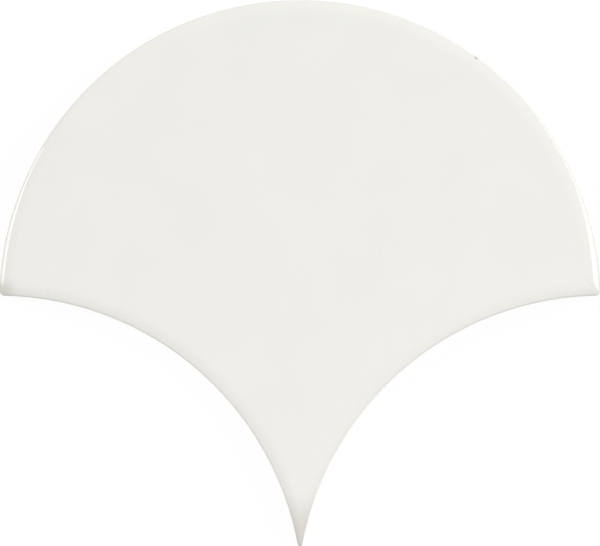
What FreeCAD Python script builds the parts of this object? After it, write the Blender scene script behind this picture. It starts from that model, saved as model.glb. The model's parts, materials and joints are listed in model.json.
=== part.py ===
"""Fish scale tile: a pressed and glazed ceramic wall tile with a round head, cove sides and a narrow tail.

The head is one half of a disc. Each side below it is a cove, which leaves an even joint round the head of
the tile in the next row. The rim has one section all the way round: a bevelled back edge, a drafted wall,
a rounded nose and a soft cushion that runs out into the flat face. The back has shallow grooves for the
bed. The origin is the centre of the head's arc, on the plane of the back. The tail points along -Y.
"""
import FreeCAD, Part
import math
import os

# Plan, millimetres
head_radius = 60.0      # round head, so the tile is twice this wide
joint = 0.8             # grout joint that a cove leaves round the neighbouring head
wing_gap = 0.5          # gap between the wings of two tiles in one row
row_step = 59.8         # from the centre of this head to the level of the heads in the row below
wing_round = 1.1        # corner where a cove meets the head
tail_round = 0.5        # tip of the tail

# Rim section, millimetres and degrees
thickness = 8.0
cushion_width = 2.7     # from the outline to the flat face
cushion_slope = 17.0    # slope at which the cushion runs into the nose
nose_radius = 0.7
side_draft = 1.0        # the wall leans in towards the back
back_bevel = 0.3        # bevelled edge of the back, as high as it is wide

# Grooves in the back, millimetres and degrees
border_width = 6.0      # plain border round the grooves
rib_width = 4.0
groove_width = 7.0
groove_depth = 0.8
groove_flare = 30.0     # lean of the groove walls, for release from the press

# How far a cutting tool runs past the surface that it cuts
tool_overlap = 1.0

cove_radius = head_radius + joint
half_pitch = head_radius + wing_gap / 2
field_radius = head_radius - border_width
field_cove_radius = cove_radius + border_width
cushion_angle = math.radians(cushion_slope)
draft_angle = math.radians(side_draft)
flare_inset = groove_depth * math.tan(math.radians(groove_flare))
tool_top = thickness + tool_overlap
origin = FreeCAD.Vector()
up = FreeCAD.Vector(0, 0, 1)


def polygon(points):
    """Closed wire through (x, z) points of the XZ plane."""
    corners = [FreeCAD.Vector(x, 0, z) for x, z in points]
    return Part.makePolygon(corners + corners[:1])


def revolved(wire, start=0.0, sweep=360.0):
    """Turn a closed wire of the XZ plane about Z, from the start angle through the sweep, in degrees."""
    solid = Part.Face(wire).revolve(origin, up, sweep)
    solid.rotate(origin, up, start)
    return solid


def rim_section(radius, side):
    """Edges of the rim section, from the back up to the flat face, at an arc of the outline.

    The tile lies inside the arc for side -1 and outside it for side +1. The cushion is an arc tangent to
    the flat face, the nose is an arc tangent to the cushion, and the wall is tangent to the nose.
    """
    nose_reach = nose_radius * (1 - math.sin(cushion_angle))
    cushion_radius = (cushion_width - nose_reach) / math.sin(cushion_angle)
    cushion_drop = cushion_radius * (1 - math.cos(cushion_angle))
    nose_height = thickness - cushion_drop - nose_radius * math.cos(cushion_angle)
    wall_angle = math.pi / 2 + draft_angle

    def at(inset, height):
        return FreeCAD.Vector(radius + side * inset, 0, height)

    def on_cushion(angle):
        inset = cushion_width - cushion_radius * math.sin(angle)
        return at(inset, thickness - cushion_radius * (1 - math.cos(angle)))

    def on_nose(angle):
        return at(nose_radius * (1 - math.sin(angle)), nose_height + nose_radius * math.cos(angle))

    wall_top = nose_height + nose_radius * math.cos(wall_angle)
    wall_inset = nose_radius * (1 - math.sin(wall_angle)) + (wall_top - back_bevel) * math.tan(draft_angle)
    toe = at(wall_inset + back_bevel, 0)
    wall_foot = at(wall_inset, back_bevel)
    nose_foot = on_nose(wall_angle)
    nose_middle = on_nose((wall_angle + cushion_angle) / 2)
    return [
        Part.LineSegment(toe, wall_foot).toShape(),
        Part.LineSegment(wall_foot, nose_foot).toShape(),
        Part.Arc(nose_foot, nose_middle, on_nose(cushion_angle)).toShape(),
        Part.Arc(on_cushion(cushion_angle), on_cushion(cushion_angle / 2), on_cushion(0)).toShape(),
    ]


def closed(edges, points):
    """Close a run of edges with straight lines through (x, z) points, from its end back to its start."""
    corners = [edges[-1].Vertexes[-1].Point]
    corners += [FreeCAD.Vector(x, 0, z) for x, z in points]
    corners += [edges[0].Vertexes[0].Point]
    return Part.Wire(edges + Part.makePolygon(corners).Edges)


def wing_centre():
    """Centre of the right wing's corner, its own radius inside the head's arc and outside the cove's."""
    from_head = head_radius - wing_round
    from_cove = cove_radius + wing_round
    span = math.hypot(half_pitch, row_step)
    along = (from_head ** 2 - from_cove ** 2 + span ** 2) / (2 * span)
    across = math.sqrt(from_head ** 2 - along ** 2)
    x = (along * half_pitch + across * row_step) / span
    y = (across * half_pitch - along * row_step) / span
    return FreeCAD.Vector(x, y, 0)


def tail_centre():
    """Centre of the tail's round tip, which touches both coves."""
    drop = row_step - math.sqrt((cove_radius + tail_round) ** 2 - half_pitch ** 2)
    return FreeCAD.Vector(0, -drop, 0)


def blank(wing):
    """Disc of the head, with the rim section all round, and a plain skirt below it that the coves shape."""
    disc = revolved(closed(rim_section(head_radius, -1), [(0, thickness), (0, 0)]))
    corner = FreeCAD.Vector(-wing.x, -row_step, 0)
    skirt = Part.makeBox(2 * wing.x, wing.y + row_step, thickness, corner)
    return disc.fuse(skirt)


def cove_tool(centre):
    """Everything that a cove takes away: the neighbour's head, its joint and the air above this rim."""
    edges = rim_section(cove_radius, 1)
    toe = edges[0].Vertexes[0].Point.x
    tool = revolved(closed(edges, [
        (cove_radius + cushion_width, tool_top),
        (0, tool_top),
        (0, -tool_overlap),
        (toe, -tool_overlap),
    ]))
    return tool.translated(centre)


def heading(start, end):
    """Direction from one point to another in plan, in degrees."""
    return math.degrees(math.atan2(end.y - start.y, end.x - start.x))


def round_corner(tile, centre, radius, start, sweep):
    """Swap a sharp corner of the outline for a round one with the same rim section.

    The sector between the two lines from the centre square to the outline is cut out, down to the centre,
    and the rim section turned about that centre fills it. It meets the rest on those two lines.
    """
    section = Part.Face(closed(rim_section(radius, -1), [(-cushion_width, thickness), (-cushion_width, 0)]))
    outside = radius + tool_overlap
    outer_half = Part.Face(polygon([(0, 0), (outside, 0), (outside, thickness), (0, thickness)]))
    outline = section.common(outer_half).Faces[0].OuterWire
    post = revolved(outline, start, sweep)
    room = [(0, -tool_overlap), (head_radius, -tool_overlap), (head_radius, tool_top), (0, tool_top)]
    sector = revolved(polygon(room), start, sweep)
    return tile.cut(sector.translated(centre)).fuse(post.translated(centre))


def field_length(x):
    """Length along Y, at a place across the tile, of the field inside the plain border of the back."""
    top = math.sqrt(max(field_radius ** 2 - x ** 2, 0))
    bottom = math.sqrt(max(field_cove_radius ** 2 - (half_pitch - abs(x)) ** 2, 0)) - row_step
    return top - bottom


def groove_tools(cove_centres):
    """Parallel grooves up the back, inside the plain border, with a rib on the middle line.

    Their walls and ends lean out by the flare. A groove is left out where it would be shorter than wide.
    """
    field = revolved(polygon([
        (0, -tool_overlap),
        (field_radius, -tool_overlap),
        (field_radius, 0),
        (field_radius - flare_inset, groove_depth),
        (0, groove_depth),
    ]))
    border = revolved(polygon([
        (0, -2 * tool_overlap),
        (field_cove_radius, -2 * tool_overlap),
        (field_cove_radius, 0),
        (field_cove_radius + flare_inset, groove_depth),
        (field_cove_radius + flare_inset, groove_depth + tool_overlap),
        (0, groove_depth + tool_overlap),
    ]))
    for centre in cove_centres:
        field = field.cut(border.translated(centre))

    half = groove_width / 2
    section = Part.Face(polygon([
        (-half, -tool_overlap),
        (half, -tool_overlap),
        (half, 0),
        (half - flare_inset, groove_depth),
        (flare_inset - half, groove_depth),
        (-half, 0),
    ]))
    bar = section.extrude(FreeCAD.Vector(0, head_radius + row_step, 0))
    pitch = rib_width + groove_width
    count = math.ceil(head_radius / pitch)
    places = [(column + 0.5) * pitch for column in range(-count, count)]
    return [
        field.common(bar.translated(FreeCAD.Vector(x, -row_step, 0)))
        for x in places
        if field_length(x) >= groove_width
    ]


def scale_tile():
    """The whole tile."""
    left_cove = FreeCAD.Vector(-half_pitch, -row_step, 0)
    right_cove = FreeCAD.Vector(half_pitch, -row_step, 0)
    right_wing = wing_centre()
    left_wing = FreeCAD.Vector(-right_wing.x, right_wing.y, 0)
    tail = tail_centre()

    tile = blank(right_wing)
    for centre in (left_cove, right_cove):
        tile = tile.cut(cove_tool(centre))

    wing_start = heading(right_wing, right_cove)
    wing_sweep = heading(origin, right_wing) - wing_start
    tile = round_corner(tile, right_wing, wing_round, wing_start, wing_sweep)
    tile = round_corner(tile, left_wing, wing_round, 180 - wing_start - wing_sweep, wing_sweep)
    tail_start = heading(tail, left_cove)
    tail_sweep = heading(tail, right_cove) - tail_start
    tile = round_corner(tile, tail, tail_round, tail_start, tail_sweep)

    for groove in groove_tools((left_cove, right_cove)):
        tile = tile.cut(groove)
    return tile.removeSplitter()


[tile] = scale_tile().Solids
os.makedirs("parts", exist_ok=True)
tile.exportStep("parts/scale_tile.step")
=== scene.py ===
"""Fish scale tile: the glazed look of one pressed ceramic wall tile, lying flat on a pale studio floor.

The rim section of the tile is carried round its outline in to the middle line of the face. The grooved back
is a grid of its own, and a bevelled strip joins the two, so the tile is one closed skin. Lengths are in
metres.
"""
import json
import math
from typing import NamedTuple

import bmesh
import bpy
import numpy as np
from bpy.props import FloatProperty, FloatVectorProperty, PointerProperty
from mathutils import Matrix, Vector


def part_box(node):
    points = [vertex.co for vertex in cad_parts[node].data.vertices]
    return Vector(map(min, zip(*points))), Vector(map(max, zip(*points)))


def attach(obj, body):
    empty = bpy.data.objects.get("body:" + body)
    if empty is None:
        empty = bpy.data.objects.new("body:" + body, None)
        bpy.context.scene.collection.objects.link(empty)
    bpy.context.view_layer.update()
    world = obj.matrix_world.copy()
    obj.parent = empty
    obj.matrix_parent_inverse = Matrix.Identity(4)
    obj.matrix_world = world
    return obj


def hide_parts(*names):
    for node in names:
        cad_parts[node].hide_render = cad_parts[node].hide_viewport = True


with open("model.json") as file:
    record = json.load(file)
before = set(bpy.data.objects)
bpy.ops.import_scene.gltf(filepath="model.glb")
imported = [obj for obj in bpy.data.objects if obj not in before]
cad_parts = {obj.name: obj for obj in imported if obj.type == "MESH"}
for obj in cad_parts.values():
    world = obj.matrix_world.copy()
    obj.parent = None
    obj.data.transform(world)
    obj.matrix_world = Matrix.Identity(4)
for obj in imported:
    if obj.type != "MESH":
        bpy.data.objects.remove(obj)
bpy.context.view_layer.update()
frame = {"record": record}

bl_info = {
    "name": "Fish scale tile",
    "version": (1, 0, 0),
    "blender": (4, 5, 0),
    "location": "3D View > Sidebar > Scale tile",
    "description": "Builds a glazed fish scale tile and a pale studio stage for it",
    "category": "Object",
}

NODE = "scale_tile"
BODY = "root"
MM = 0.001
MOUNTS = {mount["name"]: mount for mount in frame["record"]["mounts"]}
TILE_LOW, TILE_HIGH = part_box(NODE)


def mount_radius(name):
    """Radius that the record gives for a mount."""
    return MOUNTS[name]["dims"]["r_mm"] * MM


def cove_centre():
    """Centre of the right cove: its mount lies on the arc and points at it."""
    mount = MOUNTS["right_cove"]
    return Vector(mount["pos_m"]) + mount_radius("right_cove") * Vector(mount["axis"])


# Properties

def length(name, description, default):
    """A length that can be changed in the sidebar."""
    return FloatProperty(
        name=name, description=description, default=default, min=0.0, precision=5, unit="LENGTH")


def angle(name, description, degrees):
    """An angle that can be changed in the sidebar."""
    return FloatProperty(
        name=name, description=description, default=math.radians(degrees), subtype="ANGLE")


def share(name, description, default):
    """A share from nought to one."""
    return FloatProperty(
        name=name, description=description, default=default, min=0.0, max=1.0, subtype="FACTOR")


def strength(name, description, default):
    """A plain strength of light, where one is white."""
    return FloatProperty(name=name, description=description, default=default, min=0.0, precision=3)


def power(name, description, default):
    """Power of a lamp, watts."""
    return FloatProperty(name=name, description=description, default=default, min=0.0, unit="POWER")


def colour(name, description, default):
    """A linear colour."""
    return FloatVectorProperty(
        name=name, description=description, default=default, size=3, min=0.0, max=1.0, subtype="COLOR")


class TILE_PG_shape(bpy.types.PropertyGroup):
    """Sizes of the fired tile."""
    head_radius: length("Head radius", "Round head of the tile", mount_radius("head_edge"))
    cove_radius: length("Cove radius", "Cove under each wing", mount_radius("right_cove"))
    cove_across: length("Cove across", "From the middle line to a cove's centre", cove_centre().x)
    cove_drop: length("Cove drop", "From the head's centre down to the coves' centres", -cove_centre().y)
    wing_round: length("Wing round", "Corner where a cove meets the head", 1.1 * MM)
    tail_round: length("Tail round", "Tip of the tail", 0.5 * MM)
    thickness: length("Thickness", "From the back to the flat face", TILE_HIGH.z - TILE_LOW.z)
    cushion_width: length("Cushion width", "From the outline to the flat face", 2.7 * MM)
    cushion_slope: angle("Cushion slope", "Slope at which the cushion runs into the nose", 17.0)
    nose_radius: length("Nose radius", "Rounded upper edge", 0.7 * MM)
    side_draft: angle("Side draft", "Lean of the wall towards the back", 1.0)
    back_bevel: length("Back bevel", "Bevelled edge of the back", 0.3 * MM)
    tail_fall: length("Tail fall", "How far the face falls at the tip of the tail", 0.55 * MM)
    tail_fall_length: length("Tail fall length", "Length of tail over which the face falls", 11.0 * MM)
    glaze_wave: length("Glaze wave", "Height of the slow waves in the fired glaze", 0.012 * MM)
    glaze_line: length("Glaze line", "Height at which the glaze ends on the walls", 4.9 * MM)
    glaze_wander: length("Glaze wander", "How far that line wanders up and down at most", 0.75 * MM)
    glaze_build: length("Glaze build", "How far the glaze stands proud of the bare wall", 0.12 * MM)
    glaze_lip: length("Glaze lip", "Height of the rounded lower lip of the glaze", 0.35 * MM)
    border_width: length("Border width", "Plain border round the grooves of the back", 6.0 * MM)
    rib_width: length("Rib width", "Rib between two grooves", 4.0 * MM)
    groove_width: length("Groove width", "Mouth of a groove", 7.0 * MM)
    groove_depth: length("Groove depth", "Depth of a groove", 0.8 * MM)
    groove_flare: angle("Groove flare", "Lean of a groove's walls", 30.0)
    chip_bearing: angle("Chip bearing", "Place of the small chip on the head's edge", 54.1)
    chip_length: length("Chip length", "Length of the chip along the edge", 1.1 * MM)
    chip_width: length("Chip width", "Width of the chip over the nose", 0.5 * MM)
    chip_depth: length("Chip depth", "Depth of the chip", 0.14 * MM)


class TILE_PG_finish(bpy.types.PropertyGroup):
    """Colours and finishes of the fired tile."""
    glaze: colour("Glaze", "White gloss glaze", (0.862, 0.854, 0.806))
    # Thin glaze, also used as painted shade at the wing tips, down the tail and along the rims near them.
    thin_glaze_and_shade: colour("Thin glaze and shade", "Glaze drawn thin over the sharpest edges", (0.60, 0.56, 0.52))
    biscuit: colour("Biscuit", "Bare fired body", (0.71, 0.63, 0.545))
    break_colour: colour("Break", "Broken body inside the chip", (0.36, 0.34, 0.315))
    glaze_roughness: share("Glaze roughness", "Gloss of the glaze", 0.06)
    biscuit_roughness: share("Biscuit roughness", "Dullness of the bare body", 0.86)


class TILE_PG_stage(bpy.types.PropertyGroup):
    """Floor, lamps and camera."""
    floor_bounce: colour("Floor bounce", "Colour in which the floor throws light back", (0.62, 0.62, 0.61))
    floor_shadow: share("Floor shadow", "Share of the seen floor that takes shadow", 0.07)
    left_power: power("Left power", "Window to the left", 264.0)
    right_power: power("Right power", "Window to the right", 460.0)
    soft_power: power("Soft power", "Soft lamp near the tile", 0.34)
    even_room: strength("Even room", "Strength of the room's own light all round", 0.427)
    low_room: strength("Low room", "Strength of the bright band low on one side of the room", 1.35)
    low_bearing: angle("Low bearing", "Way to the middle of the bright band", 60.0)
    lens: FloatProperty(
        name="Lens", description="Focal length of the camera", default=200.0, subtype="DISTANCE_CAMERA")
    view_width: length("View width", "Width that the picture takes in at the rim", 119.7 * MM)
    view_centre: length("View centre", "Middle of the picture, above the head's centre", 5.55 * MM)


# Outline

# Samples of the outline, for the right half
HEAD_STEPS = 96
CHIP_STEPS = 36
CORNER_STEPS = 14
LOWER_COVE_STEPS = 64

# Stations: the running place round the outline at which each arc starts, and the whole way round
COVE_START, WING_START, HEAD_START, ALL_ROUND = 1.0, 2.0, 3.0, 8.0
TOP = ALL_ROUND / 2


class Plan(NamedTuple):
    """Centres of the arcs of the outline, right half, and the bearings at which one arc meets the next."""
    cove: np.ndarray
    wing: np.ndarray
    tail: np.ndarray
    tail_end: float
    wing_start: float
    wing_end: float


class Rim(NamedTuple):
    """Samples all round the outline, from the tip of the tail to the right."""
    point: np.ndarray       # places on the outline
    inward: np.ndarray      # unit directions square to the outline, into the tile
    reach: np.ndarray       # how far in the middle line of the face lies
    station: np.ndarray     # running place, one unit an arc: tail, cove, wing, head and back down


def along(turn):
    """Unit directions at bearings from +X."""
    return np.stack([np.cos(turn), np.sin(turn)], axis=-1)


def bearing(start, end):
    """Bearing from one point to another."""
    return math.atan2(end[1] - start[1], end[0] - start[0])


def plan_of(shape):
    """Each round corner touches its two neighbours, so its centre lies its own radius off both arcs."""
    across, drop = shape.cove_across, shape.cove_drop
    from_head = shape.head_radius - shape.wing_round
    from_cove = shape.cove_radius + shape.wing_round
    span = math.hypot(across, drop)
    on_line = (from_head ** 2 - from_cove ** 2 + span ** 2) / (2 * span)
    off_line = math.sqrt(from_head ** 2 - on_line ** 2)
    cove = np.array([across, -drop])
    wing = np.array([on_line * across + off_line * drop, off_line * across - on_line * drop]) / span
    tail_rise = math.sqrt((shape.cove_radius + shape.tail_round) ** 2 - across ** 2)
    tail = np.array([0.0, tail_rise - drop])
    return Plan(cove, wing, tail, bearing(tail, cove), bearing(wing, cove), bearing((0, 0), wing))


def fraction(value, start, end):
    """Place of a value on its way from a start to an end."""
    return (value - start) / (end - start)


def head_bearings(shape, plan):
    """Bearings round the head from a wing to the top, about one a degree, with close ones at the chip."""
    even = np.linspace(plan.wing_end, math.pi / 2, HEAD_STEPS)
    half = shape.chip_length / shape.head_radius
    close = np.linspace(shape.chip_bearing - half, shape.chip_bearing + half, CHIP_STEPS)
    return np.unique(np.concatenate([even[abs(even - shape.chip_bearing) > half], close]))


def rim_of(shape, plan):
    """Samples of the outline, with the middle line of the face as the end of every inward run.

    Between head and cove the middle line is where both are equally far: an ellipse with its foci at the two
    centres, at distance (s s - d d) / (2 (s - c.t)) from the head's centre in direction t, where c is the
    cove's centre, d its distance and s the sum of the radii. Below that it is the tile's own middle.
    """
    radii = shape.head_radius + shape.cove_radius

    turn = np.linspace(-math.pi / 2, plan.tail_end, CORNER_STEPS)
    tail_dir = along(turn)
    tail = Rim(
        plan.tail + shape.tail_round * tail_dir,
        -tail_dir,
        np.full(turn.shape, shape.tail_round),
        fraction(turn, -math.pi / 2, plan.tail_end),
    )

    head_turn = head_bearings(shape, plan)
    head_dir = along(head_turn)
    middle_far = (radii ** 2 - plan.cove @ plan.cove) / (2 * (radii - head_dir @ plan.cove))
    head = Rim(
        shape.head_radius * head_dir,
        -head_dir,
        shape.head_radius - middle_far,
        HEAD_START + fraction(head_turn, plan.wing_end, math.pi / 2),
    )

    from_cove = (middle_far[:, None] * head_dir - plan.cove)[::-1]
    upper_turn = np.arctan2(from_cove[:, 1], from_cove[:, 0])
    upper_reach = head.reach[::-1]
    cove_start = math.pi + plan.tail_end
    lower_turn = np.linspace(cove_start, upper_turn[0], LOWER_COVE_STEPS)[:-1]
    lower_reach = shape.cove_across / -np.cos(lower_turn) - shape.cove_radius
    cove_turn = np.concatenate([lower_turn, upper_turn])
    cove_dir = along(cove_turn)
    cove = Rim(
        plan.cove + shape.cove_radius * cove_dir,
        cove_dir,
        np.concatenate([lower_reach, upper_reach]),
        COVE_START + fraction(cove_turn, cove_start, math.pi + plan.wing_start),
    )

    turn = np.linspace(plan.wing_start, plan.wing_end, CORNER_STEPS)
    wing_dir = along(turn)
    wing = Rim(
        plan.wing + shape.wing_round * wing_dir,
        -wing_dir,
        np.full(turn.shape, shape.wing_round),
        WING_START + fraction(turn, plan.wing_start, plan.wing_end),
    )

    arcs = [Rim(*(values[:-1] for values in arc)) for arc in (tail, cove, wing)] + [head]
    right = Rim(*(np.concatenate(values) for values in zip(*arcs)))
    left = Rim(*(values[-2:0:-1] for values in right))
    mirror = np.array([-1.0, 1.0])
    return Rim(
        np.concatenate([right.point, left.point * mirror]),
        np.concatenate([right.inward, left.inward * mirror]),
        np.concatenate([right.reach, left.reach]),
        np.concatenate([right.station, ALL_ROUND - left.station]),
    )


# Skin of the face and the walls

# Rows of the rim section
BARE_ROWS = 7
LIP_ROWS = 6
GLAZED_ROWS = 5
ROUND_ROWS = 36             # nose and cushion together
NOSE_CLOSER = 2.5           # how much closer these rows stand on the nose than on the cushion
FACE_ROWS = 20
FACE_SPREAD = 1.3           # power that sets the face's rows closer at its rim

# Crest: power of the soft minimum, and how near to the middle line a cushion has to end to end on it
CREST_POWER = 4
CREST_SNAP = 0.02 * MM

# Lower edge of the glaze: counts of the waves round the outline, the power by which they get lower, and
# the seed of their places
EDGE_WAVES = np.array([5.0, 11.0, 17.0, 29.0, 43.0, 66.0])
EDGE_POWER = 0.6
EDGE_SEED = 7

# Chip: lean of the nose at its middle
CHIP_LEAN = math.radians(58.0)

# Fall of the tail: share of the thickness at which it starts up the wall, and the share over which it grows
FALL_START = 0.3
FALL_GROWTH = 0.5

# Slow waves of the glaze: lengths over one radian, how far each way bends the other, and the inset at which
# they start and the width over which they grow
WAVE_ACROSS, WAVE_UP = 5.2 * MM, 4.7 * MM
BEND_ACROSS, BEND_UP = 8.3 * MM, 6.1 * MM
ACROSS_BEND, UP_BEND = 0.8, 0.9
WAVE_START, WAVE_GROWTH = 0.8 * MM, 4.0 * MM

# Glaze drawn thin, and painted shade: the share of thin glaze on the nose, and of thin glaze and painted
# shade at the wings' tips, far more at the left one, down the tail and along the rims there, and how far
# each of these reaches
NOSE_THIN, NOSE_LEAN, NOSE_SPREAD = 0.03, math.radians(50.0), 0.45
LEFT_TIP_THIN_AND_SHADE, RIGHT_TIP_THIN_AND_SHADE, TIP_REACH = 0.60, 0.14, 1.7 * MM
TAIL_THIN_AND_SHADE, TAIL_POWER, TAIL_MOST = 1.05, 1.4, 0.57
WING_RIM_THIN_AND_SHADE, WING_RIM_REACH = 0.14, 11.0 * MM
TAIL_RIM_THIN_AND_SHADE, TAIL_RIM_REACH = 0.15, 22.0 * MM


class Section(NamedTuple):
    """Places of the rim section that are the same all round."""
    nose_reach: float       # inset at which the nose meets the cushion
    nose_height: float      # height of the nose's centre
    wall_angle: float       # lean at which the nose meets the wall
    wall_top: float         # height at which it does
    wall_inset: float       # inset at which it does


def smooth(value):
    """Soft step from 0 to 1: three squares less two cubes, held outside."""
    held = np.clip(value, 0.0, 1.0)
    return held * held * (3 - 2 * held)


def section_of(shape):
    """The cushion is tangent to the face, the nose to the cushion and the wall to the nose."""
    slope, nose = shape.cushion_slope, shape.nose_radius
    nose_reach = nose * (1 - math.sin(slope))
    cushion_drop = (shape.cushion_width - nose_reach) * math.tan(slope / 2)
    nose_height = shape.thickness - cushion_drop - nose * math.cos(slope)
    wall_angle = math.pi / 2 + shape.side_draft
    wall_top = nose_height + nose * math.cos(wall_angle)
    return Section(nose_reach, nose_height, wall_angle, wall_top, nose * (1 - math.sin(wall_angle)))


def drafted(shape, section, height):
    """Inset of the plain wall at a height: the way down from its top, times the tangent of the draft."""
    return section.wall_inset + (section.wall_top - height) * math.tan(shape.side_draft)


def glaze_edge(shape, rim):
    """Height of the glaze's lower edge round the outline: a sum of sines of the way round."""
    step = np.linalg.norm(np.roll(rim.point, -1, axis=0) - rim.point, axis=1)
    turn = 2 * math.pi * (np.cumsum(step) - step) / step.sum()
    start = np.random.default_rng(EDGE_SEED).uniform(0.0, 2 * math.pi, EDGE_WAVES.size)
    waves = (np.sin(EDGE_WAVES * turn[:, None] + start) * EDGE_WAVES ** -EDGE_POWER).sum(axis=1)
    return shape.glaze_line + shape.glaze_wander * waves / np.abs(waves).max()


def rim_section(shape, rim, edge):
    """Inset, height and lean of the section's rows, from the wall's foot in to the middle line.

    The bare wall leans in up to the glaze's edge, by as much as the glaze stands proud of it. The lip of
    the glaze is a quarter of an ellipse, and above it the wall is straight. The nose is an arc from the wall
    to the cushion's slope, and the cushion an arc from there to level. They share one set of rows by the
    lengths of their arcs. Where the middle line is near, the cushion is squeezed to end on it, by a soft
    minimum of its own width and the reach, so the wings and the tail get a low round crest.
    """
    section = section_of(shape)
    slope, nose = shape.cushion_slope, shape.nose_radius
    edge, reach = edge[:, None], rim.reach[:, None]

    rise = np.linspace(0.0, 1.0, BARE_ROWS)
    bare_height = shape.back_bevel + (edge - shape.back_bevel) * rise
    bare_inset = drafted(shape, section, bare_height) + shape.glaze_build * rise

    roll = np.linspace(0.0, math.pi / 2, LIP_ROWS)[1:]
    lip_height = edge + shape.glaze_lip * (1 - np.cos(roll))
    lip_inset = drafted(shape, section, lip_height) + shape.glaze_build * (1 - np.sin(roll))

    rise = np.linspace(0.0, 1.0, GLAZED_ROWS)[1:-1]
    lip_top = edge + shape.glaze_lip
    glazed_height = lip_top + (section.wall_top - lip_top) * rise
    glazed_inset = drafted(shape, section, glazed_height)

    soft_end = (reach ** -CREST_POWER + shape.cushion_width ** -CREST_POWER) ** (-1 / CREST_POWER)
    cushion_end = np.where(reach - soft_end < CREST_SNAP, reach, soft_end)
    cushion_radius = (cushion_end - section.nose_reach) / math.sin(slope)
    crest = section.nose_height + nose * math.cos(slope) + cushion_radius * (1 - math.cos(slope))

    nose_turn = section.wall_angle - slope
    nose_weight = NOSE_CLOSER * nose * nose_turn
    nose_share = nose_weight / (nose_weight + cushion_radius * slope)
    way = np.linspace(0.0, 1.0, ROUND_ROWS)
    on_nose = way < nose_share
    nose_lean = section.wall_angle - nose_turn * way / nose_share
    cushion_lean = slope * (1 - way) / (1 - nose_share)
    round_lean = np.where(on_nose, nose_lean, cushion_lean)
    nose_inset = nose * (1 - np.sin(round_lean))
    nose_height = section.nose_height + nose * np.cos(round_lean)
    cushion_inset = cushion_end - cushion_radius * np.sin(round_lean)
    cushion_height = crest - cushion_radius * (1 - np.cos(round_lean))
    round_inset = np.where(on_nose, nose_inset, cushion_inset)
    round_height = np.where(on_nose, nose_height, cushion_height)

    way = np.linspace(0.0, 1.0, FACE_ROWS)[1:] ** FACE_SPREAD
    face_inset = cushion_end + (reach - cushion_end) * way
    face_height = crest * np.ones_like(way)

    inset = np.concatenate([bare_inset, lip_inset, glazed_inset, round_inset, face_inset], axis=1)
    height = np.concatenate([bare_height, lip_height, glazed_height, round_height, face_height], axis=1)
    lean = np.zeros_like(inset)
    wall_rows = inset.shape[1] - ROUND_ROWS - way.size
    lean[:, :wall_rows] = section.wall_angle
    lean[:, wall_rows:wall_rows + ROUND_ROWS] = round_lean
    return inset, height, lean


def chip_bowl(shape, rim, lean):
    """Share of the chip's depth at each place: one less the squares of the ways along and over the nose."""
    on_right_head = (rim.station >= HEAD_START) & (rim.station <= TOP)
    turn = np.arctan2(rim.point[:, 1], rim.point[:, 0])
    way = (turn - shape.chip_bearing) * shape.head_radius / (shape.chip_length / 2)
    over = (lean - CHIP_LEAN) * shape.nose_radius / (shape.chip_width / 2)
    bowl = np.clip(1 - way[:, None] ** 2 - over ** 2, 0.0, 1.0)
    return bowl * on_right_head[:, None]


def glaze_waves(x, y):
    """Slow waves from -1 to 1: the mean of a sine across and a sine up, each bent by one of the other."""
    across = np.sin(x / WAVE_ACROSS + ACROSS_BEND * np.sin(y / BEND_UP))
    up = np.sin(y / WAVE_UP - UP_BEND * np.sin(x / BEND_ACROSS))
    return (across + up) / 2


def thinness_and_shade(shape, plan, flat, inset, lean, tail_way):
    """Share of thin glaze and painted shade at each place of the face's skin.

    On the nose it is a bell over the lean: thin glaze. At a wing's tip it is a bell over the way from it,
    much stronger at the left tip, and down the tail a power of the way, held at a most: thin glaze with
    painted shade.
    Wider bells about the wings and the tail lie along the rim, also thin glaze with painted shade, and fade
    out with a soft step over the cushion.
    """
    nose = NOSE_THIN * np.exp(-((lean - NOSE_LEAN) / NOSE_SPREAD) ** 2)
    wing_far = np.hypot(np.abs(flat[..., 0]) - plan.wing[0], flat[..., 1] - plan.wing[1])
    # The wing tips are thin glaze with painted shade; the left tip, which lies in shade, is painted far
    # darker.
    tip_thin_and_shade = np.where(flat[..., 0] < 0, LEFT_TIP_THIN_AND_SHADE, RIGHT_TIP_THIN_AND_SHADE)
    wing_tip = tip_thin_and_shade * np.exp(-(wing_far / TIP_REACH) ** 2)
    wing_rim = WING_RIM_THIN_AND_SHADE * np.exp(-(wing_far / WING_RIM_REACH) ** 2)
    # Down the tail and along the rims near the wings and the tail: thin glaze with painted shade.
    tail_tip = np.minimum(TAIL_THIN_AND_SHADE * tail_way ** TAIL_POWER, TAIL_MOST)
    tail_far = np.hypot(flat[..., 0], flat[..., 1] - plan.tail[1])
    tail_rim = TAIL_RIM_THIN_AND_SHADE * np.exp(-(tail_far / TAIL_RIM_REACH) ** 2)
    on_rim = smooth(1 - inset / shape.cushion_width)
    return nose + np.maximum(tail_tip, wing_tip) + (wing_rim + tail_rim) * on_rim


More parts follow.
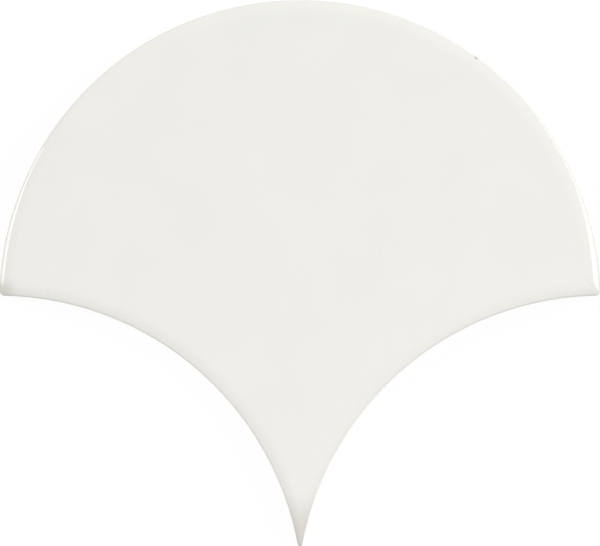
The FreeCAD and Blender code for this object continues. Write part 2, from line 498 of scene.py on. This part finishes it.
def face_skin(shape, plan, rim):
    """Grid of the walls, rim and face, and its masks by name.

    The chip sinks in square to the nose. The fall of the tail grows with the square of the way down it and
    fades out down the wall. The waves of the glaze fade out at the rim.
    """
    edge = glaze_edge(shape, rim)
    inset, height, lean = rim_section(shape, rim, edge)
    above_edge = height - edge[:, None]
    chip = chip_bowl(shape, rim, lean)
    inset = inset + shape.chip_depth * chip * np.sin(lean)
    height = height - shape.chip_depth * chip * np.cos(lean)
    flat = rim.point[:, None, :] + rim.inward[:, None, :] * inset[:, :, None]
    x, y = flat[..., 0], flat[..., 1]

    tip = plan.tail[1] - shape.tail_round
    tail_way = np.clip((tip + shape.tail_fall_length - y) / shape.tail_fall_length, 0.0, 1.0)
    falling = smooth((height / shape.thickness - FALL_START) / FALL_GROWTH)
    height = height - shape.tail_fall * tail_way ** 2 * falling
    waving = smooth((inset - WAVE_START) / WAVE_GROWTH)
    height = height + shape.glaze_wave * glaze_waves(x, y) * waving

    # Share of thin glaze, with painted shade at the wing tips, the tail and the rims near them.
    thin = thinness_and_shade(shape, plan, flat, inset, lean, tail_way)
    return np.dstack([x, y, height]), {"above_edge": above_edge, "thin_glaze_and_shade": thin, "chip": chip}


# Skin of the back

# Samples across the right half of the back: the tail's and the wing's corners, the coves, the head and a
# groove's wall
BACK_CORNER_STEPS = 5
BACK_COVE_STEPS = 72
BACK_HEAD_STEPS = 64
GROOVE_WALL_STEPS = 5
COLUMN_GAP = 0.005 * MM     # a column nearer than this to the next one is left out


class Back(NamedTuple):
    """Grid of the back, one column across the tile for each place on X, and the ring that bounds it."""
    points: np.ndarray
    ring: np.ndarray        # indices of the bounding ring, in the order of the rim
    station: np.ndarray     # running places of that ring


class Run(NamedTuple):
    """Rows from one stop of a column to the next, and the groove's depth at both, as shares."""
    rows: int
    before: float
    after: float


# Up a column: border, groove's lower end, groove, its upper end and border
RUNS = (Run(3, 0.0, 0.0), Run(4, 0.0, 1.0), Run(11, 1.0, 1.0), Run(4, 1.0, 0.0), Run(3, 0.0, 0.0))

# Stops of a column with no groove, as shares of its length
PLAIN_STOPS = (0.3, 0.4, 0.6, 0.7)


def arc_rise(radius, offset):
    """Half chord of a circle at an offset from its centre, by the rule of Pythagoras."""
    return np.sqrt(np.maximum(radius ** 2 - offset ** 2, 0))


def groove_middles(shape):
    """Places of the grooves across the right half: a half pitch from the middle line and whole pitches on.

    A groove is left out where it would be shorter than wide.
    """
    pitch = shape.rib_width + shape.groove_width
    middles = (np.arange(math.ceil(shape.head_radius / pitch)) + 0.5) * pitch
    top = arc_rise(shape.head_radius - shape.border_width, middles)
    bottom = arc_rise(shape.cove_radius + shape.border_width, shape.cove_across - middles) - shape.cove_drop
    return middles[top - bottom >= shape.groove_width]


def back_columns(shape, plan, toe, flare):
    """Places across the right half: even steps round the toe's arcs, and steps down each groove's walls."""
    tail_turn = np.linspace(0, math.pi / 2 + plan.tail_end, BACK_CORNER_STEPS)
    cove_turn = np.linspace(math.pi + plan.tail_end, math.pi + plan.wing_start, BACK_COVE_STEPS)
    wing_turn = np.linspace(plan.wing_start, 0, BACK_CORNER_STEPS)
    head_turn = np.linspace(plan.wing_end, math.pi / 2, BACK_HEAD_STEPS)
    tail = (shape.tail_round - toe) * np.sin(tail_turn)
    cove = shape.cove_across + (shape.cove_radius + toe) * np.cos(cove_turn)
    wing = plan.wing[0] + (shape.wing_round - toe) * np.cos(wing_turn)
    head = (shape.head_radius - toe) * np.cos(head_turn)
    steps = np.linspace(0, flare, GROOVE_WALL_STEPS)
    walls = shape.groove_width / 2 - np.concatenate([steps, shape.groove_width - steps])
    grooves = (groove_middles(shape)[:, None] + walls).ravel()
    places = np.unique(np.concatenate([tail, cove, wing, head, grooves]))
    places = places[(places >= 0) & (places <= wing[-1])]
    return places[np.append(np.diff(places) > COLUMN_GAP, True)]


def toe_ends(shape, plan, toe, right):
    """Lower and upper end of each column on the toe's outline, and their running places."""
    tail_radius, wing_radius = shape.tail_round - toe, shape.wing_round - toe
    cove_radius, head_radius = shape.cove_radius + toe, shape.head_radius - toe
    on_tail = right < tail_radius * math.cos(plan.tail_end)
    on_wing = right > plan.wing[0] + wing_radius * math.cos(plan.wing_start)
    to_cove, past_wing = shape.cove_across - right, right - plan.wing[0]

    low = arc_rise(cove_radius, to_cove) - shape.cove_drop
    low = np.where(on_tail, plan.tail[1] - arc_rise(tail_radius, right), low)
    low = np.where(on_wing, plan.wing[1] - arc_rise(wing_radius, past_wing), low)
    high = np.maximum(arc_rise(head_radius, right), low)

    # The last column closes on the wing's outermost point.
    low[-1] = high[-1] = plan.wing[1]

    tail_turn = np.arcsin(np.clip(right / tail_radius, 0, 1)) - math.pi / 2
    cove_turn = np.arccos(np.clip(-to_cove / cove_radius, -1, 1))
    wing_turn = -np.arccos(np.clip(past_wing / wing_radius, -1, 1))
    head_turn = np.arccos(np.clip(right / head_radius, -1, 1))
    tail_place = fraction(tail_turn, -math.pi / 2, plan.tail_end)
    cove_place = COVE_START + fraction(cove_turn, math.pi + plan.tail_end, math.pi + plan.wing_start)
    wing_place = WING_START + fraction(wing_turn, plan.wing_start, plan.wing_end)
    low_station = np.where(on_tail, tail_place, np.where(on_wing, wing_place, cove_place))
    high_station = HEAD_START + fraction(head_turn, plan.wing_end, math.pi / 2)
    return low, high, low_station, high_station


def back_skin(shape, plan):
    """Grid of the grooved back.

    A column runs from the cove's toe to the head's toe. Its rows stop at the mouth and the floor of a
    groove's ends, which keep an even border to the outline. A groove's depth is the product of a soft step
    across its walls and a soft step along its ends.
    """
    toe = drafted(shape, section_of(shape), shape.back_bevel) + shape.back_bevel
    flare = shape.groove_depth * math.tan(shape.groove_flare)
    right = back_columns(shape, plan, toe, flare)
    low, high, low_station, high_station = toe_ends(shape, plan, toe, right)

    to_cove = shape.cove_across - right
    field, field_cove = shape.head_radius - shape.border_width, shape.cove_radius + shape.border_width
    marks = [
        arc_rise(field_cove, to_cove) - shape.cove_drop,
        arc_rise(field_cove + flare, to_cove) - shape.cove_drop,
        arc_rise(field - flare, right),
        arc_rise(field, right),
    ]
    grooved = marks[2] > marks[1]
    plain = [low + (high - low) * part for part in PLAIN_STOPS]
    stops = [low] + [np.where(grooved, mark, stop) for mark, stop in zip(marks, plain)] + [high]

    rows, depths = [], []
    for run, start, end in zip(RUNS, stops, stops[1:]):
        way = np.linspace(0, 1, run.rows, endpoint=False)
        rows.append(start + (end - start) * way[:, None])
        depths.append(run.before + (run.after - run.before) * smooth(way))
    y = np.concatenate(rows + [high[None]])
    end_depth = np.concatenate(depths + [[0.0]])
    from_middle = np.abs(right[:, None] - groove_middles(shape)).min(axis=1)
    wall_depth = smooth((shape.groove_width / 2 - from_middle) / flare) * grooved
    z = shape.groove_depth * end_depth[:, None] * wall_depth

    x = np.concatenate([-right[:0:-1], right])
    y = np.concatenate([y[:, :0:-1], y], axis=1)
    z = np.concatenate([z[:, :0:-1], z], axis=1)
    points = np.dstack([np.broadcast_to(x, y.shape), y, z])

    count, middle = x.size, right.size - 1
    low_row, high_row = np.arange(count), np.arange(count) + (y.shape[0] - 1) * count
    ring = np.concatenate([low_row[middle:], high_row[-2:0:-1], low_row[:middle]])
    station = np.concatenate([
        low_station,
        high_station[-2:0:-1],
        ALL_ROUND - high_station[:-1],
        ALL_ROUND - low_station[:0:-1],
    ])
    return Back(points, ring, station)


# Mesh

MERGE_DISTANCE = 1e-7
SHARP_ANGLE = math.radians(32.0)


def grid_quads(rows, columns, first, closed):
    """Four corners of every cell of a grid of points, whose rows may close into a ring."""
    row = np.arange(rows if closed else rows - 1)[:, None]
    column = np.arange(columns - 1)[None, :]
    here, after = row * columns + column, (row + 1) % rows * columns + column
    return np.stack([here, after, after + 1, here + 1], axis=-1).reshape(-1, 4) + first


def zipped(outer, outer_station, inner, inner_station):
    """Triangles between two closed rings, which step along whichever ring has the nearer next station."""
    outer_next = np.append(outer_station[1:], ALL_ROUND)
    inner_next = np.append(inner_station[1:], ALL_ROUND)
    facing_inner = np.searchsorted(inner_next, outer_next, side="left") % inner.size
    facing_outer = np.searchsorted(outer_next, inner_next, side="right") % outer.size
    from_outer = np.stack([outer, inner[facing_inner], np.roll(outer, -1)], axis=-1)
    from_inner = np.stack([inner, np.roll(inner, -1), outer[facing_outer]], axis=-1)
    return np.concatenate([from_outer, from_inner])


def tile_mesh(shape):
    """One closed skin: the face's grid, the back's grid and the bevel between them, with doubles merged."""
    plan = plan_of(shape)
    rim = rim_of(shape, plan)
    face, masks = face_skin(shape, plan, rim)
    back = back_skin(shape, plan)
    around, across = face.shape[:2]
    back_rows, back_across = back.points.shape[:2]
    first_back = around * across

    places = np.concatenate([face.reshape(-1, 3), back.points.reshape(-1, 3)])
    quads = np.concatenate([
        grid_quads(around, across, 0, True),
        grid_quads(back_rows, back_across, first_back, False),
    ])
    bevel = zipped(np.arange(around) * across, rim.station, back.ring + first_back, back.station)

    mesh = bpy.data.meshes.new("fired_tile")
    mesh.from_pydata(places.tolist(), [], quads.tolist() + bevel.tolist())
    on_back = {"above_edge": -shape.glaze_line, "thin_glaze_and_shade": 0.0, "chip": 0.0}
    for name, values in masks.items():
        layer = mesh.attributes.new(name, "FLOAT", "POINT")
        all_values = np.concatenate([values.ravel(), np.full(back_rows * back_across, on_back[name])])
        layer.data.foreach_set("value", all_values.astype(np.float32))

    skin = bmesh.new()
    skin.from_mesh(mesh)
    bmesh.ops.remove_doubles(skin, verts=skin.verts, dist=MERGE_DISTANCE)
    bmesh.ops.recalc_face_normals(skin, faces=skin.faces)
    if any(not edge.is_manifold for edge in skin.edges):
        raise RuntimeError("the tile's skin isn't closed")
    skin.to_mesh(mesh)
    skin.free()
    mesh.shade_smooth()
    mesh.set_sharp_from_angle(angle=SHARP_ANGLE)
    return mesh


# Finish

# Patterns: features to the metre, and octaves of finer detail
CLOUDS = (95.0, 3.0)
PEEL = (420.0, 1.0)
STAINS = (55.0, 4.0)
GRAIN = (2600.0, 3.0)

# Range in which a noise's value mostly lies
NOISE_RANGE = (0.3, 0.7)

# Glaze: half width of its edge, darkest and lightest cloud, spread of its thin glaze and painted shade, and
# of its gloss
EDGE_BLUR = 0.02 * MM
CLOUD_TONES = (0.993, 1.006)
THIN_AND_SHADE_SPREAD = (0.85, 1.15)
GLOSS_SPREAD = (0.85, 1.2)

# Pinholes: cells to the metre, chance above which a cell has one, its size as a share of a cell, and the
# share and the tone of its tint
PINHOLE_SCALE = 120.0
PINHOLE_CHANCE = (0.86, 0.88)
PINHOLE_SIZE = (0.012, 0.034)
PINHOLE_SHARE = 0.24
PINHOLE_TONE = 0.6

# Chip: how deep the grain bites into its bowl, how far the bowl reaches past the bite, and how soft the
# outlines of the bite and of the bowl are
BITE = 0.9
BITE_REACH = 0.4
BITE_EDGE = (0.04, 0.2)
CHIP_EDGE = (0.0, 0.05)

# Biscuit: darkest and lightest stain, range of the noise that is a grain, a grain's share and tone, and how
# far the grain spreads the roughness
STAIN_TONES = (0.93, 1.05)
GRAIN_RANGE = (0.56, 0.74)
GRAIN_SHARE = 0.45
GRAIN_TONE = 0.72
GRAIN_ROUGHNESS = 0.1

# Relief: height of the glaze's orange peel, depth of a pinhole and height of the grain
PEEL_HEIGHT = 0.0018 * MM
PINHOLE_DEPTH = 0.02 * MM
GRAIN_HEIGHT = 0.05 * MM


def place(tree, kind, settings=None, **inputs):
    """Add a node, set it up, and link or set its inputs, named in lower case or numbered n0 and on."""
    node = tree.nodes.new(kind)
    for name, value in (settings or {}).items():
        setattr(node, name, value)
    for name, value in inputs.items():
        socket = node.inputs[int(name[1:]) if name[1:].isdigit() else name.replace("_", " ").title()]
        if isinstance(value, bpy.types.NodeSocket):
            tree.links.new(value, socket)
        else:
            socket.default_value = value
    return node


def worked(tree, operation, *values):
    """Result of a Math node."""
    inputs = {f"n{index}": value for index, value in enumerate(values)}
    return place(tree, "ShaderNodeMath", {"operation": operation}, **inputs).outputs[0]


def ramp(tree, value, low, high, start=0.0, end=1.0):
    """A value carried softly from one range to another, and held outside it."""
    node = place(
        tree, "ShaderNodeMapRange", {"interpolation_type": "SMOOTHSTEP"},
        value=value, from_min=low, from_max=high, to_min=start, to_max=end)
    return node.outputs["Result"]


def between(tree, way, first, second):
    """Value on the way from a first to a second value."""
    return place(tree, "ShaderNodeMix", n0=way, n2=first, n3=second).outputs[0]


def blended(tree, way, first, second):
    """Colour on the way from a first to a second colour."""
    return place(tree, "ShaderNodeMix", {"data_type": "RGBA"}, n0=way, n6=first, n7=second).outputs[2]


def noise(tree, vector, scale, detail):
    """Value of a Noise texture with features about one over the scale across, in metres."""
    return place(tree, "ShaderNodeTexNoise", vector=vector, scale=scale, detail=detail).outputs[0]


def mask(tree, name):
    """Value of one of the mesh's masks."""
    return place(tree, "ShaderNodeAttribute", {"attribute_name": name}).outputs["Fac"]


def toned(linear, factor=1.0):
    """Colour darkened or lightened by a factor, with full alpha, for a node's socket."""
    return (*(part * factor for part in linear), 1.0)


def toned_pair(linear, factors):
    """Two tones of one colour."""
    return [toned(linear, factor) for factor in factors]


def pinholes(tree, coordinates):
    """Mask of a few small round holes: near the middle of a cell, in cells whose chance is high."""
    footprint = place(tree, "ShaderNodeMapping", vector=coordinates, scale=(1.0, 1.0, 0.0)).outputs[0]
    cells = place(tree, "ShaderNodeTexVoronoi", vector=footprint, scale=PINHOLE_SCALE).outputs
    chance = place(tree, "ShaderNodeSeparateColor", color=cells["Color"]).outputs[0]
    near = ramp(tree, cells["Distance"], *PINHOLE_SIZE, 1.0, 0.0)
    return worked(tree, "MULTIPLY", ramp(tree, chance, *PINHOLE_CHANCE), near)


def chip_mask(tree, grain):
    """Mask of the chip, whose outline the body's grain bites into."""
    chip = mask(tree, "chip")
    reach = worked(tree, "ADD", chip, BITE_REACH)
    bitten = worked(tree, "MULTIPLY_ADD", grain, -BITE, reach)
    return worked(tree, "MULTIPLY", ramp(tree, chip, *CHIP_EDGE), ramp(tree, bitten, *BITE_EDGE))


def glaze_colour(tree, finish, cloud, pinhole):
    """Glaze with faint clouds, thin over edges, thin and painted shade at points, and a few pinholes."""
    clouded = blended(tree, ramp(tree, cloud, *NOISE_RANGE), *toned_pair(finish.glaze, CLOUD_TONES))
    spread = ramp(tree, cloud, *NOISE_RANGE, *THIN_AND_SHADE_SPREAD)
    # Thin glaze, with painted shade at the wing tips, the tail and the rims near them.
    drawn = worked(tree, "MULTIPLY", mask(tree, "thin_glaze_and_shade"), spread)
    glaze = blended(tree, drawn, clouded, toned(finish.thin_glaze_and_shade))
    tint = worked(tree, "MULTIPLY", pinhole, PINHOLE_SHARE)
    return blended(tree, tint, glaze, toned(finish.biscuit, PINHOLE_TONE))


def biscuit_colour(tree, finish, coordinates, chipped, grain):
    """Bare body with soft stains from the kiln, the dark break of the chip and grains of pressed powder."""
    stain = noise(tree, coordinates, *STAINS)
    body = blended(tree, ramp(tree, stain, *NOISE_RANGE), *toned_pair(finish.biscuit, STAIN_TONES))
    body = blended(tree, chipped, body, toned(finish.break_colour))
    grains = ramp(tree, grain, *GRAIN_RANGE, 0.0, GRAIN_SHARE)
    return blended(tree, grains, body, toned(finish.biscuit, GRAIN_TONE))


def tile_material(finish):
    """White gloss glaze down to its edge on the walls, over a matt cream biscuit body."""
    material = bpy.data.materials.new("white_glaze_over_biscuit")
    material.use_nodes = True
    tree = material.node_tree
    surface = tree.nodes["Principled BSDF"].inputs
    coordinates = tree.nodes.new("ShaderNodeTexCoord").outputs["Object"]
    cloud = noise(tree, coordinates, *CLOUDS)
    grain = noise(tree, coordinates, *GRAIN)
    pinhole = pinholes(tree, coordinates)
    chipped = chip_mask(tree, grain)
    glazed = ramp(tree, mask(tree, "above_edge"), -EDGE_BLUR, EDGE_BLUR)
    covered = worked(tree, "MULTIPLY", glazed, worked(tree, "SUBTRACT", 1.0, chipped))

    glaze = glaze_colour(tree, finish, cloud, pinhole)
    body = biscuit_colour(tree, finish, coordinates, chipped, grain)
    tree.links.new(blended(tree, covered, body, glaze), surface["Base Color"])

    gloss = ramp(tree, cloud, *NOISE_RANGE, *(finish.glaze_roughness * factor for factor in GLOSS_SPREAD))
    least_dull = finish.biscuit_roughness - GRAIN_ROUGHNESS / 2
    dull = worked(tree, "MULTIPLY_ADD", grain, GRAIN_ROUGHNESS, least_dull)
    tree.links.new(between(tree, covered, dull, gloss), surface["Roughness"])

    # Relief in metres: the faint orange peel of the glaze with its pinholes, and the body's grain.
    peel = worked(tree, "MULTIPLY", noise(tree, coordinates, *PEEL), PEEL_HEIGHT)
    glaze_relief = worked(tree, "MULTIPLY_ADD", pinhole, -PINHOLE_DEPTH, peel)
    body_relief = worked(tree, "MULTIPLY", grain, GRAIN_HEIGHT)
    relief = between(tree, covered, body_relief, glaze_relief)
    bump = place(tree, "ShaderNodeBump", height=relief, strength=1.0, distance=1.0)
    tree.links.new(bump.outputs["Normal"], surface["Normal"])
    return material


# Stage

FLOOR_HALF = 4.0
OPEN_LIGHT = 0.85           # light on the open floor, as a share of what shows as white
BAND_TOP = 0.3              # sine of the height at which the room's bright band ends


class Window(NamedTuple):
    """Upright rectangular lamp that faces the tile, from one end to the other anticlockwise round it."""
    name: str
    first_end: tuple
    last_end: tuple
    low: float
    high: float


LEFT_WINDOW = Window("left_window", (-5.24, 3.04), (-4.78, 0.17), 1.70, 7.50)
RIGHT_WINDOW = Window("right_window", (1.55, -0.05), (10.50, 8.43), 0.80, 3.60)

# Square soft lamp, near the tile on its lower right
SOFT_LAMP_PLACE = Vector((0.225, -0.268, 0.306))
SOFT_LAMP_SIDE = 0.23


def seen_directly(tree, path):
    """One for what the camera sees, straight or by gloss or glass, and nought for other light."""
    seen = worked(tree, "MAXIMUM", path["Is Camera Ray"], path["Is Glossy Ray"])
    return worked(tree, "MAXIMUM", seen, path["Is Transmission Ray"])


def floor_material(stage):
    """Pale floor: white to the camera with a faint shadow, and a plain matt surface to all other light."""
    material = bpy.data.materials.new("pale_floor")
    material.use_nodes = True
    tree = material.node_tree
    tree.nodes.remove(tree.nodes["Principled BSDF"])
    path = tree.nodes.new("ShaderNodeLightPath").outputs
    bounce = place(tree, "ShaderNodeBsdfDiffuse", color=toned(stage.floor_bounce)).outputs[0]
    shadow = place(tree, "ShaderNodeBsdfDiffuse", color=toned((stage.floor_shadow,) * 3)).outputs[0]
    white = place(tree, "ShaderNodeEmission", strength=1.0 - OPEN_LIGHT * stage.floor_shadow).outputs[0]
    pale = place(tree, "ShaderNodeAddShader", n0=white, n1=shadow).outputs[0]
    both = place(tree, "ShaderNodeMixShader", n0=seen_directly(tree, path), n1=bounce, n2=pale).outputs[0]
    tree.links.new(both, tree.nodes["Material Output"].inputs["Surface"])
    return material


def lay_floor(stage):
    """One square of floor, level with the tile's back."""
    near, far = -FLOOR_HALF, FLOOR_HALF
    mesh = bpy.data.meshes.new("studio_floor")
    mesh.from_pydata([(near, near, 0), (far, near, 0), (far, far, 0), (near, far, 0)], [], [(0, 1, 2, 3)])
    mesh.materials.append(floor_material(stage))
    floor = bpy.data.objects.new("studio_floor", mesh)
    bpy.context.scene.collection.objects.link(floor)


def hang_lamp(name, watts, width, height, middle, turn):
    """Hang a rectangular lamp, whose lit side looks down its own Z."""
    light = bpy.data.lights.new(name, "AREA")
    light.shape = "RECTANGLE"
    light.size = width
    light.size_y = height
    light.energy = watts
    lamp = bpy.data.objects.new(name, light)
    lamp.location = middle
    lamp.rotation_euler = turn.to_euler()
    bpy.context.scene.collection.objects.link(lamp)
    return lamp


def light_window(window, watts):
    """Stand a window up on its middle line and turn its lit side to the tile."""
    first, last = Vector((*window.first_end, 0.0)), Vector((*window.last_end, 0.0))
    run = last - first
    sideways, up = run.normalized(), Vector((0.0, 0.0, 1.0))
    middle = (first + last) / 2 + up * (window.low + window.high) / 2
    turn = Matrix((sideways, up, sideways.cross(up))).transposed()
    hang_lamp(window.name, watts, run.length, window.high - window.low, middle, turn)


def light_softly(watts):
    """Turn the soft lamp to the tile. It lights the tile but doesn't show in its gloss or to the camera."""
    turn = SOFT_LAMP_PLACE.to_track_quat("Z", "Y")
    lamp = hang_lamp("soft_lamp", watts, SOFT_LAMP_SIDE, SOFT_LAMP_SIDE, SOFT_LAMP_PLACE, turn)
    lamp.visible_camera = False
    lamp.visible_glossy = False


def studio_room(stage):
    """White room to the eye and in gloss. Its other light is even, with a bright band low on one side."""
    world = bpy.data.worlds.new("studio_room")
    bpy.context.scene.world = world
    world.use_nodes = True
    tree = world.node_tree
    path = tree.nodes.new("ShaderNodeLightPath").outputs
    direction = tree.nodes.new("ShaderNodeTexCoord").outputs["Generated"]
    band_side = (math.cos(stage.low_bearing), math.sin(stage.low_bearing), 0.0)
    turned = place(tree, "ShaderNodeVectorMath", {"operation": "DOT_PRODUCT"}, n0=direction, n1=band_side)
    sideways = ramp(tree, turned.outputs["Value"], 0.0, 1.0)
    level = place(tree, "ShaderNodeSeparateXYZ", vector=direction).outputs["Z"]
    band = worked(tree, "MULTIPLY", sideways, ramp(tree, level, 0.0, BAND_TOP, 1.0, 0.0))
    lit = worked(tree, "MULTIPLY_ADD", band, stage.low_room, stage.even_room)
    background = tree.nodes["Background"].inputs
    background["Color"].default_value = (1.0, 1.0, 1.0, 1.0)
    tree.links.new(between(tree, seen_directly(tree, path), lit, 1.0), background["Strength"])


def set_camera(stage, shape):
    """Camera straight above, as high as its lens needs to take in the view's width at the rim."""
    lens = bpy.data.cameras.new("camera_above")
    lens.lens = stage.lens
    rim_level = shape.thickness - shape.nose_radius
    above_rim = stage.view_width * stage.lens / lens.sensor_width
    camera = bpy.data.objects.new("camera_above", lens)
    camera.location = (0.0, stage.view_centre, rim_level + above_rim)
    bpy.context.scene.collection.objects.link(camera)
    bpy.context.scene.camera = camera


# Operators and panel

class TILE_OT_fire_tile(bpy.types.Operator):
    """Build the glazed tile in place of the plain solid"""
    bl_idname = "scale_tile.fire_tile"
    bl_label = "Fire tile"

    def execute(self, context):
        mesh = tile_mesh(context.scene.tile_shape)
        mesh.materials.append(tile_material(context.scene.tile_finish))
        tile = bpy.data.objects.new("fired_tile", mesh)
        context.scene.collection.objects.link(tile)
        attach(tile, BODY)
        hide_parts(NODE)
        return {"FINISHED"}


class TILE_OT_set_stage(bpy.types.Operator):
    """Lay the floor, hang the lamps and set the camera straight above the tile"""
    bl_idname = "scale_tile.set_stage"
    bl_label = "Set stage"

    def execute(self, context):
        stage = context.scene.tile_stage
        context.scene.view_settings.view_transform = "Standard"
        lay_floor(stage)
        light_window(LEFT_WINDOW, stage.left_power)
        light_window(RIGHT_WINDOW, stage.right_power)
        light_softly(stage.soft_power)
        studio_room(stage)
        set_camera(stage, context.scene.tile_shape)
        return {"FINISHED"}


class TILE_PT_sidebar(bpy.types.Panel):
    """Sidebar of the scale tile"""
    bl_idname = "TILE_PT_sidebar"
    bl_label = "Scale tile"
    bl_space_type = "VIEW_3D"
    bl_region_type = "UI"
    bl_category = "Scale tile"

    def draw(self, context):
        for group, operator in (
            (context.scene.tile_shape, None),
            (context.scene.tile_finish, TILE_OT_fire_tile),
            (context.scene.tile_stage, TILE_OT_set_stage),
        ):
            box = self.layout.box()
            for name in group.__annotations__:
                box.prop(group, name)
            if operator:
                box.operator(operator.bl_idname)


CLASSES = (
    TILE_PG_shape,
    TILE_PG_finish,
    TILE_PG_stage,
    TILE_OT_fire_tile,
    TILE_OT_set_stage,
    TILE_PT_sidebar,
)


def register():
    """Register the classes and hang the properties on the scene."""
    for kind in CLASSES:
        bpy.utils.register_class(kind)
    bpy.types.Scene.tile_shape = PointerProperty(type=TILE_PG_shape)
    bpy.types.Scene.tile_finish = PointerProperty(type=TILE_PG_finish)
    bpy.types.Scene.tile_stage = PointerProperty(type=TILE_PG_stage)


def unregister():
    """Take the properties and the classes away again."""
    del bpy.types.Scene.tile_stage
    del bpy.types.Scene.tile_finish
    del bpy.types.Scene.tile_shape
    for kind in reversed(CLASSES):
        bpy.utils.unregister_class(kind)


def main():
    """Build the tile and its stage."""
    register()
    bpy.ops.scale_tile.fire_tile()
    bpy.ops.scale_tile.set_stage()


if __name__ == "__main__":
    main()
